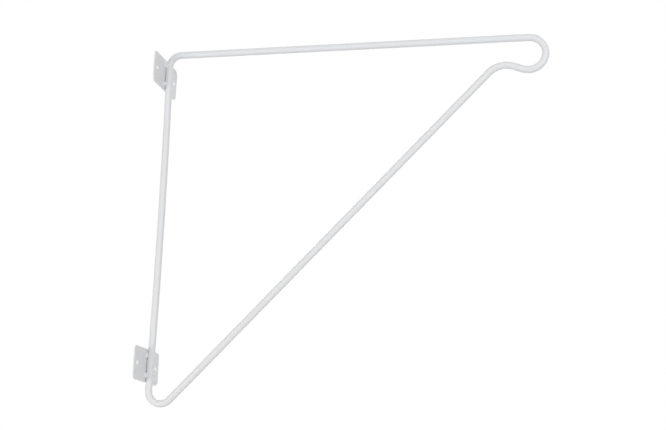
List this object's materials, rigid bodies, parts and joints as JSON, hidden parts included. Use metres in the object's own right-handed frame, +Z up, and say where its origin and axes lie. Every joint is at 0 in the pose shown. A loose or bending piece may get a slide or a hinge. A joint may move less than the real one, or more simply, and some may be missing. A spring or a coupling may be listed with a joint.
{
  "type": "closet rod bracket",
  "caption": "Triangular wire bracket with wall plates, a straight top arm and a round hook at its front that carries a closet rod.",
  "frame": {"origin": "on the wall plane, midway between the two screw holes of the upper wall plate", "axes": "+X out from the wall along the arm, +Y along the wall across the wire loop, +Z up along the wall leg"},
  "size_m": [0.3899, 0.066, 0.3628],
  "materials": {
    "white_coat": "satin white powder coat on steel"
  },
  "bodies": {
    "root": {"wire_frame": "white_coat", "upper_wall_plate": "white_coat", "lower_wall_plate": "white_coat"}
  },
  "joints": []
}
